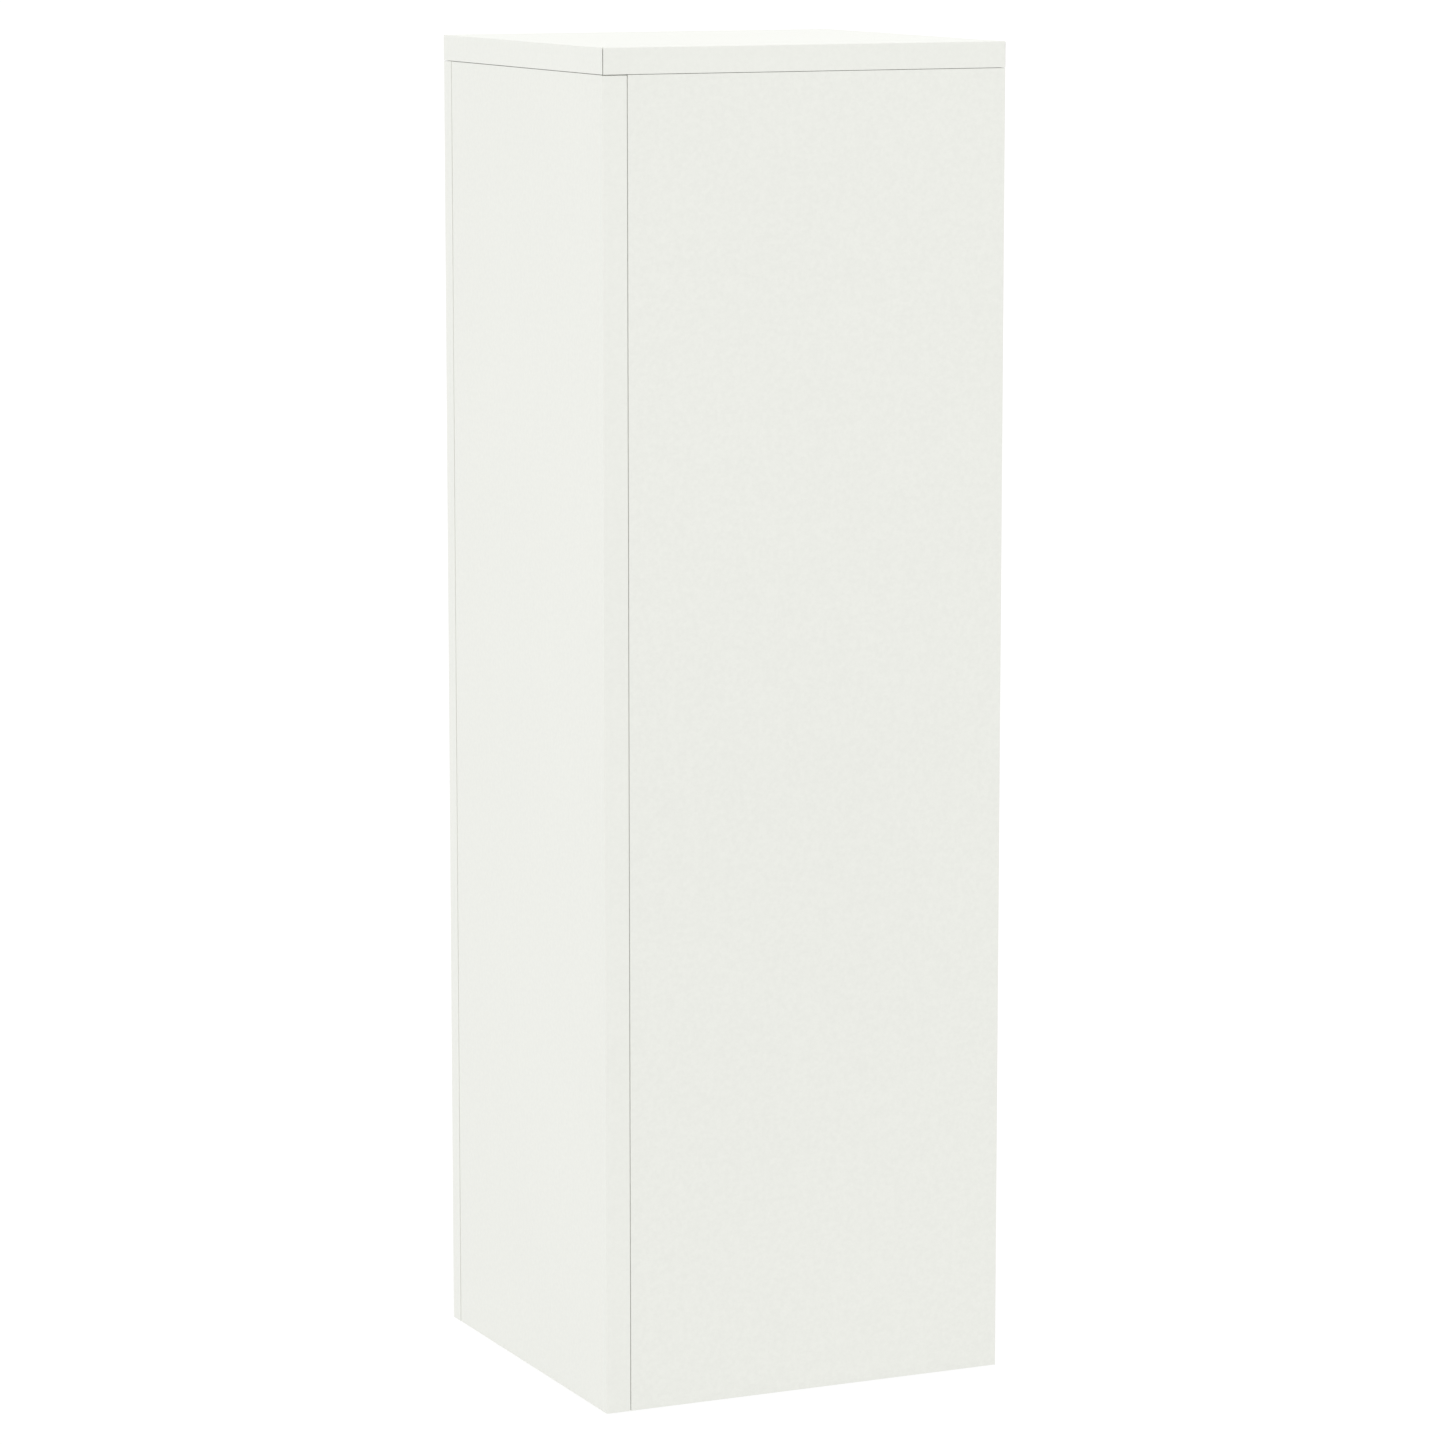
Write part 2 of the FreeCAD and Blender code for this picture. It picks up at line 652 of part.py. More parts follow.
def make_bolt(name, joint, into, outof):
    """A cam bolt: its thread in the face of one board, its shaft in the edge of the other."""
    thread = rod(name + "_thread", joint, into, "Sizes.bolt_thread / 2 - Sizes.play",
                 "Sizes.thread_depth - 0.5")
    shaft = rod(name + "_shaft", joint, outof, "3.4", "Sizes.cam_inset - 2")
    return join(name, [thread, shaft])


def make_dowel(name, joint, into):
    """A dowel across a joint, given from its end in the board's edge."""
    return rod(name, joint, into, "Sizes.bolt_bore / 2 - Sizes.play", "Sizes.dowel_long - 0.8")


def make_board_fittings():
    """Cams, bolts and dowels of the top panel, the floor board and the fixed shelf."""
    cams = []
    bolts = []
    dowels = []
    dowel_start = "(Sizes.dowel_long - Sizes.thread_depth)"
    for (outward, face), middle in zip(WALLS, WALL_MIDDLES):
        inward = OPPOSITE[outward]
        for spot in BOLT_SPOTS:
            mouth = (middle, spot, TOP_UNDER)
            centre = (face, spot, f"{TOP_UNDER} - Sizes.cam_inset")
            cams.append(make_cam("cam", centre, outward, mouth, "-Z"))
            bolts.append(make_bolt("bolt", mouth, "+Z", "-Z"))
            for height in (FLOOR_BOARD, "Sizes.middle_shelf"):
                mouth = (face, spot, height)
                centre = (f"{face} {inward[0]} Sizes.cam_inset", spot, f"{height} - {BOARD} / 2")
                cams.append(make_cam("cam", centre, "+Z", mouth, inward))
                bolts.append(make_bolt("bolt", mouth, outward, inward))
        for spot in DOWEL_SPOTS:
            start = (middle, spot, f"{TOP_UNDER} - {dowel_start} + 0.4")
            dowels.append(make_dowel("dowel", start, "+Z"))
            for height in (FLOOR_BOARD, "Sizes.middle_shelf"):
                start = (f"{face} {inward[0]} ({dowel_start} - 0.4)", spot, height)
                dowels.append(make_dowel("dowel", start, outward))
    group("cam_housings", cams)
    group("cam_bolts", bolts)
    group("wood_dowels", dowels)


def make_shelf_pins():
    """Eight plain steel pins under the loose shelves."""
    pins = []
    for shelf in (LOW_SHELF, HIGH_SHELF):
        height = f"{shelf} - {BOARD} / 2 - Sizes.bolt_thread / 2"
        for spot in (f"{MIDDLE_Y} - Sizes.pin_front", f"{MIDDLE_Y} + Sizes.pin_rear"):
            for outward, face in WALLS:
                start = (f"{face} {OPPOSITE[outward][0]} 8", spot, height)
                pins.append(rod("pin", start, outward, "Sizes.bolt_thread / 2 - Sizes.play", "17"))
    group("shelf_pins", pins)


def make_back_screws():
    """Countersunk screws through the back into the sides' rear edges."""
    screws = []
    for middle in WALL_MIDDLES:
        for height in SCREW_HEIGHTS:
            head = cone("head", (middle, f"{REAR} - 0.1", height), "-Y", "4.1", "1.5", "2.7")
            shank = rod("shank", (middle, f"{REAR} - 1", height), "-Y", "1.5", "45")
            recess = cross_recess("screw", (middle, f"{REAR} - 0.1", height), "+Y", "4.4", "1", "1.6")
            screws.append(carve("screw", join("screw_solid", [head, shank]), recess))
    group("back_screws", screws)


def make_glides():
    """Four plastic glides sunk into the floor board, each held by a nail."""
    glides = []
    nails = []
    for x_sign in ("-", ""):
        for y_sign in ("-", ""):
            spot = (f"{x_sign}Sizes.glide_x", f"{y_sign}Sizes.glide_y", "0")
            thick = "Sizes.foot_lift + Sizes.glide_sink"
            disc = rod("disc", spot, "+Z", "Sizes.glide_across / 2", thick)
            recess = rod("recess", spot, "+Z", "3.6", "1.4")
            hole = rod("hole", spot, "+Z", "1.5", thick)
            glides.append(carve("glide", disc, join("glide_bore", [recess, hole])))
            head = rod("nail_head", shift(spot, z="0.6"), "+Z", "3.4", "0.8")
            shank = rod("nail_shank", shift(spot, z="1"), "+Z", "1.3", "14")
            nails.append(join("nail", [head, shank]))
    group("glides", glides)
    group("glide_nails", nails)


# ---------------------------------------------------------------- door

DOOR_LEFT = f"({BOARD} + Sizes.door_gap - {SIDE})"
DOOR_TOP = f"({TOP_UNDER} - Sizes.door_top_gap)"
DOOR_HIGH = f"({DOOR_TOP} - {FOOT})"
DOOR_WIDE = f"({SIDE} - {DOOR_LEFT})"
LATCH_X = "(Sizes.board + Sizes.latch_across / 2 - Sizes.width / 2)"


def make_door():
    """The door's board with its bands: the two long ones cover the short ones' ends."""
    door = board(
        "door_panel",
        (f"{DOOR_LEFT} + {BAND}", FRONT, f"{FOOT} + {BAND}"),
        (f"{DOOR_WIDE} - 2 * {BAND}", BOARD, f"{DOOR_HIGH} - 2 * {BAND}"),
        "Y",
    )
    cup_x = f"{SIDE} - Sizes.cup_in"
    cups = [(cup_x, "0", height) for height in HINGES]
    drill(door, "+Y", cups, "Sizes.cup_bore", "Sizes.cup_depth + 0.3")
    screws = [
        (f"{SIDE} - Sizes.cup_in - Sizes.cup_screw_in", "0", f"{height} {sign} Sizes.cup_screw_rise")
        for height in HINGES for sign in "-+"
    ]
    screws.append((LATCH_X, "0", "Sizes.latch_height"))
    drill(door, "+Y", screws, "Sizes.pilot", "Sizes.door_pilot_depth")

    for name, corner_x, face in (("door_closing_band", DOOR_LEFT, "-X"),
                                 ("door_hinge_band", f"{SIDE} - {BAND}", "+X")):
        band = board(name, (corner_x, FRONT, FOOT), (BAND, BOARD, DOOR_HIGH), "X")
        soften(band, (face,), "YZ")
    for name, corner_z, face in (("door_bottom_band", FOOT, "-Z"),
                                 ("door_top_band", f"{DOOR_TOP} - {BAND}", "+Z")):
        band = board(
            name,
            (f"{DOOR_LEFT} + {BAND}", FRONT, corner_z),
            (f"{DOOR_WIDE} - 2 * {BAND}", BOARD, BAND),
            "Z",
        )
        soften(band, (face,), "X")


# ---------------------------------------------------------------- hinges

ARM_POINTS = [
    ("22.4", "5.4"), ("24", "4"), ("34", "2.6"), ("38", "2.2"), ("39.6", "4"), ("39.6", "12"),
    ("34", "24"), ("34", "64"), ("22.8", "64"), ("22.8", "10"),
]
ARM_HOLLOW = [
    ("20", "0"), ("42", "0"), ("42", "10"), ("38.4", "10"), ("38.4", "11.7"),
    ("32.8", "23.7"), ("32.8", "70"), ("20", "70"),
]
OUTER_LINK = [
    ("Sizes.cup_pin_in - 0.8", "-1.9 - Sizes.cup_pin_down"), ("16.5", "-10.3"), ("24.6", "-10.5"),
    ("27", "-8.3"), ("Sizes.link_in + 1.6", "4.5"), ("Sizes.link_in - 0.6", "4.5"),
    ("24.9", "-7.4"), ("23.6", "-8.5"), ("17.2", "-8.3"),
    ("Sizes.cup_pin_in + 1.2", "1.4 - Sizes.cup_pin_down"),
]
ARM_SCREWS = ("34", "54")
INNER_LINK = [
    ("Sizes.inner_in - 0.6", "Sizes.inner_up + 1"), ("25", "-0.3"),
    ("Sizes.nose_in - 0.3", "1.2 - Sizes.nose_down"),
    ("Sizes.nose_in + 0.3", "-1.2 - Sizes.nose_down"), ("26", "-2.5"),
    ("Sizes.inner_in + 0.6", "Sizes.inner_up - 1"),
]


def hinge_rod(name, inward, upward, height, radius, wide):
    """A rod along a hinge's pins, centred on the hinge's height."""
    spot = hinge_spot(inward, upward, f"{height} - ({wide}) / 2")
    return rod(name, spot, "+Z", radius, wide)


def hinge_block(name, inward, upward, height, size):
    """A block in a hinge, from its nearest inward and upward corner, centred in height."""
    corner = (
        f"{SIDE} - ({inward}) - ({size[0]})",
        f"{DOOR_BACK} + ({upward})",
        f"{height} - ({size[2]}) / 2",
    )
    return block(name, corner, size)


def make_cup(height):
    """A pressed steel cup with two screw wings and a notch in its rim for the long link."""
    centre = ("Sizes.cup_in", "0")
    radius = "Sizes.cup_bore / 2 - Sizes.play"
    shell = rod("cup_shell", hinge_spot(*centre, height), "-Y", radius, "Sizes.cup_depth")
    rim = rod("cup_rim", hinge_spot(*centre, height), "+Y", "Sizes.cup_bore / 2 + 1", "Sizes.flange")
    wings = [hinge_block("cup_wings", "Sizes.cup_in - 1", "0", height,
                         ("14", "Sizes.flange", "2 * Sizes.cup_screw_rise"))]
    holes = []
    for sign in "-+":
        spot = hinge_spot("Sizes.cup_in + Sizes.cup_screw_in", "0",
                          f"{height} {sign} Sizes.cup_screw_rise")
        wings.append(rod("cup_wing_end", spot, "+Y", "7", "Sizes.flange"))
        holes.append(rod("cup_wing_hole", shift(spot, y="-1"), "+Y", "1.9", "4"))
    mouth = hinge_spot("Sizes.cup_in", "Sizes.flange", height)
    hollow = rod("cup_hollow", mouth, "-Y", f"{radius} - Sizes.cup_wall",
                 "Sizes.flange + Sizes.cup_depth - Sizes.cup_wall")
    notch = hinge_block("cup_notch", "2", "-3", height, ("7", "4.5", "17.4"))
    solid = join("cup_solid", [shell, rim] + wings)
    return carve("cup", solid, join("cup_tools", [hollow, notch] + holes))


def make_outer_link(height):
    """The long bent link: two cheeks joined by the tubes round its pins."""
    profile = hinge_profile("outer_profile", height, OUTER_LINK, "16")
    gap = hinge_block("outer_gap", "5", "-15", height, ("30", "30", "11.6"))
    cheeks = carve("outer_cheeks", profile, gap)
    arm_end = hinge_rod("outer_tube", "Sizes.link_in", "Sizes.link_up", height, "2.6", "16")
    cup_end = hinge_rod("outer_tube", "Sizes.cup_pin_in", "-Sizes.cup_pin_down", height, "2.3", "16")
    body = join("outer_body", [cheeks, arm_end, cup_end])
    bores = join("outer_bores", [
        hinge_rod("outer_bore", "Sizes.link_in", "Sizes.link_up", height,
                  "Sizes.pin_across / 2 + 0.06", "20"),
        hinge_rod("outer_bore", "Sizes.cup_pin_in", "-Sizes.cup_pin_down", height,
                  "Sizes.pin_across / 2 + 0.06", "20"),
    ])
    return carve("outer_link", body, bores)


def make_inner_link(height):
    """The short link between the outer link's cheeks, pinned to the arm at one end."""
    profile = hinge_profile("inner_profile", height, INNER_LINK, "9.6")
    tube = hinge_rod("inner_tube", "Sizes.inner_in", "Sizes.inner_up", height, "2.4", "16.4")
    nose = hinge_rod("inner_nose", "Sizes.nose_in", "-Sizes.nose_down", height, "1.7", "9.6")
    bore = hinge_rod("inner_bore", "Sizes.inner_in", "Sizes.inner_up", height,
                     "Sizes.pin_across / 2 + 0.06", "20")
    return carve("inner_link", join("inner_body", [profile, tube, nose]), bore)


def make_arm(height):
    """The hinge arm: a channel open towards the side panel, with its pin and screw holes."""
    solid = hinge_profile("arm_profile", height, ARM_POINTS, "Sizes.arm_wide")
    hollow = hinge_profile("arm_hollow", height, ARM_HOLLOW,
                           "Sizes.arm_wide - 2 * Sizes.arm_sheet")
    holes = [
        hinge_rod("arm_hole", "Sizes.link_in", "Sizes.link_up", height,
                  "Sizes.pin_across / 2 + 0.06", "30"),
        hinge_rod("arm_hole", "Sizes.inner_in", "Sizes.inner_up", height,
                  "Sizes.pin_across / 2 + 0.06", "30"),
    ]
    for spot in ARM_SCREWS:
        holes.append(rod("arm_hole", hinge_spot("30", spot, height), "-X", "2.1", "8"))
    return carve("arm", solid, join("arm_tools", [hollow] + holes))


def make_mounting_plate(height):
    """The plate on the side panel: two screw wings and the spine that carries the arm."""
    wings = hinge_block("plate_wings", BOARD, "Sizes.plate_line - 10", height,
                        ("Sizes.plate_sheet", "20", "48"))
    spine = hinge_block("plate_spine", BOARD, "26", height, ("13.6", "36", "15.6"))
    holes = []
    for sign in "-+":
        spot = hinge_spot("15", "Sizes.plate_line", f"{height} {sign} Sizes.plate_screw_rise")
        holes.append(rod("plate_hole", spot, "-X", "1.9", "10"))
    for spot in ARM_SCREWS:
        holes.append(rod("plate_bore", hinge_spot("22", spot, height), "-X", "2.1", "12"))
    return carve("plate", join("plate_solid", [wings, spine]), join("plate_tools", holes))


def make_hinges():
    """Three concealed cup hinges, as groups of like pieces."""
    cup_screws = []
    plate_screws = []
    arm_screws = []
    arm_pins = []
    for height in HINGES:
        for sign in "-+":
            spot = hinge_spot("Sizes.cup_in + Sizes.cup_screw_in", "Sizes.flange",
                              f"{height} {sign} Sizes.cup_screw_rise")
            cup_screws.append(make_screw("cup_screw", spot, "-Y", "+Y", ("3.4", "1.4"), ("1.6", "13")))
            spot = hinge_spot(f"{BOARD} + Sizes.plate_sheet", "Sizes.plate_line",
                              f"{height} {sign} Sizes.plate_screw_rise")
            plate_screws.append(make_screw("plate_screw", spot, "+X", "-X",
                                           ("3.3", "1.8"), ("1.6", "15")))
        for place_y in ARM_SCREWS:
            spot = hinge_spot("34", place_y, height)
            arm_screws.append(make_screw("arm_screw", spot, "+X", "-X", ("3.6", "1.6"), ("1.9", "11")))
        for inward, upward in (("Sizes.link_in", "Sizes.link_up"),
                               ("Sizes.inner_in", "Sizes.inner_up")):
            arm_pins.append(hinge_rod("arm_pin", inward, upward, height,
                                      "Sizes.pin_across / 2", "Sizes.arm_wide"))
    group("hinge_cups", [make_cup(height) for height in HINGES])
    group("hinge_arms", [make_arm(height) for height in HINGES])
    group("mounting_plates", [make_mounting_plate(height) for height in HINGES])
    group("outer_links", [make_outer_link(height) for height in HINGES])
    group("inner_links", [make_inner_link(height) for height in HINGES])
    group("cup_screws", cup_screws)
    group("plate_screws", plate_screws)
    group("arm_screws", arm_screws)
    group("arm_pins", arm_pins)
    group("cup_pins", [
        hinge_rod("cup_pin", "Sizes.cup_pin_in", "-Sizes.cup_pin_down", height,
                  "Sizes.pin_across / 2", "23")
        for height in HINGES
    ])


# ---------------------------------------------------------------- push latch

LATCH_FRONT = f"({CARCASS_FRONT} + 1)"
PLUNGER_FRONT = f"({DOOR_BACK} + Sizes.strike + 0.1)"
PLUNGER_LONG = "26"
BORE_END = f"({LATCH_FRONT} + 50)"


def make_latch():
    """A spring latch on the left side panel: it pulls on a plate on the door by a magnet."""
    wall = f"-{INNER}"
    height = "Sizes.latch_height"
    case = block("case", (wall, LATCH_FRONT, f"{height} - Sizes.latch_across / 2"),
                 ("Sizes.latch_across", "Sizes.latch_long", "Sizes.latch_across"))
    ears = block("ears", (wall, f"{LATCH_SCREW_Y} - 8", f"{height} - Sizes.ear_rise - 5"),
                 ("Sizes.ear_sheet", "16", "2 * Sizes.ear_rise + 10"))
    holes = [rod("case_bore", (LATCH_X, f"{LATCH_FRONT} - 1", height), "+Y",
                 "Sizes.plunger_across / 2 + 0.1", f"{BORE_END} - {LATCH_FRONT} + 1")]
    screws = []
    for sign in "-+":
        spot = (f"{wall} + Sizes.ear_sheet", LATCH_SCREW_Y, f"{height} {sign} Sizes.ear_rise")
        holes.append(rod("ear_hole", shift(spot, x="-4"), "+X", "1.7", "6"))
        screws.append(make_screw("latch_screw", spot, "-X", "+X", ("3", "1.6"), ("1.4", "12.5")))
    carve("latch_case", join("case_solid", [case, ears]), join("case_tools", holes))
    group("latch_screws", screws)

    start = (LATCH_X, PLUNGER_FRONT, height)
    stem = rod("stem", start, "+Y", "Sizes.plunger_across / 2", PLUNGER_LONG)
    seat = rod("stem_seat", start, "+Y", "3.1", "2.2")
    carve("latch_plunger", stem, seat)
    magnet = rod("latch_magnet", start, "+Y", "3", "2.2")
    magnet.Label = "latch_magnet"

    coil = doc.addObject("Part::Helix", "spring_line")
    coil.Placement.Rotation = TURNS["+Y"]
    place(coil, (LATCH_X, f"{PLUNGER_FRONT} + {PLUNGER_LONG} + 0.6", height))
    coil.setExpression("Radius", "Sizes.plunger_across / 2 - 0.9")
    coil.setExpression("Height", f"{BORE_END} - {PLUNGER_FRONT} - {PLUNGER_LONG} - 1.2")
    coil.setExpression("Pitch", f"({BORE_END} - {PLUNGER_FRONT} - {PLUNGER_LONG} - 1.2) / 8")
    wire = doc.addObject("Sketcher::SketchObject", "spring_wire")
    place(wire, (f"{LATCH_X} + Sizes.plunger_across / 2 - 0.9",
                 f"{PLUNGER_FRONT} + {PLUNGER_LONG} + 0.6", height))
    circle = wire.addGeometry(Part.Circle(Vector(0, 0, 0), Vector(0, 0, 1), 0.45))
    wire.addConstraint(Sketcher.Constraint("Coincident", circle, 3, -1, 1))
    wire.addConstraint(Sketcher.Constraint("Diameter", circle, 0.9))
    spring = doc.addObject("Part::Sweep", "latch_spring")
    spring.Sections = [wire]
    spring.Spine = coil
    spring.Solid = True
    spring.Frenet = True
    spring.Label = "latch_spring"

    back = (LATCH_X, DOOR_BACK, height)
    disc = rod("strike_disc", back, "+Y", "6.5", "Sizes.strike")
    hole = rod("strike_hole", shift(back, y="-1"), "+Y", "1.9", "4")
    head = shift(back, y="Sizes.strike - Sizes.strike_recess")
    recess = rod("strike_recess", head, "+Y", "3.3", "2")
    carve("strike_plate", disc, join("strike_tools", [hole, recess]))
    screw = make_screw("strike_screw", head, "-Y", "+Y", ("3.1", "0.7"), ("1.6", "11"))
    screw.Label = "strike_screw"


# ---------------------------------------------------------------- make, check and write

NODES = [
    "top_panel", "top_front_band", "top_left_band", "top_right_band",
    "left_side_panel", "left_front_band", "right_side_panel", "right_front_band",
    "back_panel", "back_left_band", "back_right_band",
    "bottom_panel", "bottom_band", "middle_shelf", "middle_shelf_band",
    "lower_shelf", "lower_shelf_band", "upper_shelf", "upper_shelf_band",
    "cam_housings", "cam_bolts", "wood_dowels", "shelf_pins", "back_screws",
    "glides", "glide_nails",
    "door_panel", "door_closing_band", "door_hinge_band", "door_bottom_band", "door_top_band",
    "hinge_cups", "cup_screws", "cup_pins", "outer_links", "inner_links", "hinge_arms",
    "arm_pins", "mounting_plates", "plate_screws", "arm_screws",
    "latch_case", "latch_screws", "latch_plunger", "latch_magnet", "latch_spring",
    "strike_plate", "strike_screw",
]

make_top()
make_sides()
make_back()
make_shelves()
make_board_fittings()
make_shelf_pins()
make_back_screws()
make_glides()
make_door()
make_hinges()
make_latch()
doc.recompute()

for item in doc.Objects:
    if "Invalid" in item.State or "Error" in item.State:
        raise RuntimeError(f"{item.Name} did not recompute: {item.State}")

os.makedirs("parts", exist_ok=True)
for node in NODES:
    shape = doc.getObjectsByLabel(node)[0].Shape
    if shape.isNull() or not shape.isValid() or not shape.Solids:
        raise RuntimeError(f"{node} has no valid solid")
    shape.exportStep(f"parts/{node}.step")
print(f"{len(NODES)} nodes written")
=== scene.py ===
"""Looks of the locker cabinet: procedural materials, studio light, floor and camera."""
import math

import bpy
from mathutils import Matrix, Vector


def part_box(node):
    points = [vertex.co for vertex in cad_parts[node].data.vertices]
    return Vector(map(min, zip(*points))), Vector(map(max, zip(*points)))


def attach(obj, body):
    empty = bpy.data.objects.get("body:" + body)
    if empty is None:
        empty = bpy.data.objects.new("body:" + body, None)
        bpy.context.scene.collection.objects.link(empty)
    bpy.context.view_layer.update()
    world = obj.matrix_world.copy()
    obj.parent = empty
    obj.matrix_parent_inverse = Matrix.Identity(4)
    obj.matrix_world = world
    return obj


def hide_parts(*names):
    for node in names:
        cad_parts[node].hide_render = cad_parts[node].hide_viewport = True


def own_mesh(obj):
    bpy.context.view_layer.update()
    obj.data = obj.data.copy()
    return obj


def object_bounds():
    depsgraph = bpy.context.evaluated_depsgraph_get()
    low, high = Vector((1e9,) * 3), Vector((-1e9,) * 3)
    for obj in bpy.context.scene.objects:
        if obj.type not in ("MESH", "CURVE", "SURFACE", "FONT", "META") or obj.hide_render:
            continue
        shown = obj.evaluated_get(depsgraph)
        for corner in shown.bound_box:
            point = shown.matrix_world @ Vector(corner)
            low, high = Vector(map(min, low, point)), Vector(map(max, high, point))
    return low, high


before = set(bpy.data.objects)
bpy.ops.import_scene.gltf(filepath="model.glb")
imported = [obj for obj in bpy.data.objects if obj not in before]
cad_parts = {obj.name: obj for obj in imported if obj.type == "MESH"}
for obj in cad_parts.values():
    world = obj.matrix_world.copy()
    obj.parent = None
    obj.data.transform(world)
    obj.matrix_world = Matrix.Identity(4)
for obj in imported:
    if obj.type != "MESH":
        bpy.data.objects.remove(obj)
CAD_BOX = [list(corner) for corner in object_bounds()]
LOW, HIGH = (Vector(corner) for corner in CAD_BOX)
HEIGHT = HIGH.z - LOW.z

# Colours in linear light
WHITE = (0.784, 0.793, 0.745)
BAND_WHITE = (0.787, 0.796, 0.748)
CHIP_DARK = (0.30, 0.19, 0.10)
CHIP_LIGHT = (0.62, 0.45, 0.27)
STEEL = (0.62, 0.62, 0.61)
NICKEL = (0.71, 0.69, 0.655)
ZINC = (0.55, 0.56, 0.57)
BEECH = (0.60, 0.38, 0.20)
BEECH_DARK = (0.42, 0.24, 0.11)
GLIDE_GREY = (0.55, 0.55, 0.53)
LATCH_GREY = (0.52, 0.53, 0.52)
MAGNET_GREY = (0.33, 0.33, 0.34)
TABLE_WHITE = (0.15, 0.15, 0.15)

# Light
TABLE_GLOW = 0.87       # strength of the light through the translucent shooting table
SURROUND_GLOW = 1.02    # strength of the white surround
OVERHEAD_POWER = 11.5   # W
LEFT_POWER = 2.4        # W

SEALED = 0.0008     # how deep the white melamine and edge sealing reaches into a board
CHIP_ROUGH = 0.92   # roughness of the raw chipboard inside a bore
AXES = "XYZ"
MID_LOW, MID_HIGH = 0.3, 0.7    # where most values of a noise texture lie


# ---------------------------------------------------------------- node helpers

class Nodes:
    """A material under construction: adds nodes and joins their sockets."""

    def __init__(self, name):
        self.material = bpy.data.materials.new(name)
        self.material.use_nodes = True
        self.tree = self.material.node_tree
        self.shader = self.tree.nodes["Principled BSDF"]
        self.place = self.add("ShaderNodeTexCoord").outputs["Object"]

    def add(self, kind, **settings):
        node = self.tree.nodes.new(kind)
        for name, value in settings.items():
            setattr(node, name, value)
        return node

    def feed(self, socket, value):
        """Join an output to a socket, or set the socket's own value."""
        if isinstance(value, bpy.types.NodeSocket):
            self.tree.links.new(value, socket)
        else:
            socket.default_value = value

    def math(self, operation, first, second=0.0):
        node = self.add("ShaderNodeMath", operation=operation)
        self.feed(node.inputs[0], first)
        self.feed(node.inputs[1], second)
        return node.outputs[0]

    def stretched(self, stretch):
        """The place on the part, with each axis multiplied by a factor."""
        node = self.add("ShaderNodeMapping")
        node.inputs["Scale"].default_value = stretch
        self.feed(node.inputs["Vector"], self.place)
        return node.outputs[0]

    def noise(self, scale, detail=2.0, rough=0.5, stretch=None):
        """Noise over the part, finer along an axis where its stretch factor is over 1."""
        node = self.add("ShaderNodeTexNoise")
        self.feed(node.inputs["Vector"], self.stretched(stretch) if stretch else self.place)
        self.feed(node.inputs["Scale"], scale)
        self.feed(node.inputs["Detail"], detail)
        self.feed(node.inputs["Roughness"], rough)
        return node.outputs["Fac"]

    def ramp(self, factor, low, high, start=MID_LOW, end=MID_HIGH):
        """Map a factor from start..end to low..high."""
        node = self.add("ShaderNodeMapRange")
        self.feed(node.inputs["Value"], factor)
        for name, value in zip(("From Min", "From Max", "To Min", "To Max"),
                               (start, end, low, high)):
            self.feed(node.inputs[name], value)
        return node.outputs[0]

    def mix(self, factor, first, second, blend_type="MIX"):
        """Join two colours, given as triples or sockets."""
        node = self.add("ShaderNodeMix", data_type="RGBA", blend_type=blend_type)
        self.feed(node.inputs["Factor"], factor)
        for socket, value in zip(node.inputs[6:8], (first, second)):
            self.feed(socket, value if isinstance(value, bpy.types.NodeSocket) else (*value, 1))
        return node.outputs[2]

    def tint(self, colour, factor, low, high):
        """A colour made lighter and darker by a factor between two gains."""
        gain = self.add("ShaderNodeCombineColor")
        level = self.ramp(factor, low, high)
        for name in ("Red", "Green", "Blue"):
            self.feed(gain.inputs[name], level)
        return self.mix(1.0, colour, gain.outputs[0], "MULTIPLY")

    def bump(self, height, distance, strength, under=None):
        """A surface normal from a height, on top of another one if there is one."""
        node = self.add("ShaderNodeBump")
        self.feed(node.inputs["Height"], height)
        node.inputs["Distance"].default_value = distance
        node.inputs["Strength"].default_value = strength
        if under:
            self.feed(node.inputs["Normal"], under)
        return node.outputs[0]

    def finish(self, colour, roughness, normal=None, metallic=0.0, specular=0.5):
        """Join everything to the shader and give the material."""
        shader = self.shader
        self.feed(shader.inputs["Base Color"], colour)
        self.feed(shader.inputs["Roughness"], roughness)
        shader.inputs["Metallic"].default_value = metallic
        shader.inputs["Specular IOR Level"].default_value = specular
        if normal:
            self.feed(shader.inputs["Normal"], normal)
        return self.material


def dress(material, *names):
    """Give CAD nodes a material."""
    for name in names:
        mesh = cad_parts[name].data
        mesh.materials.clear()
        mesh.materials.append(material)


# ---------------------------------------------------------------- board and band

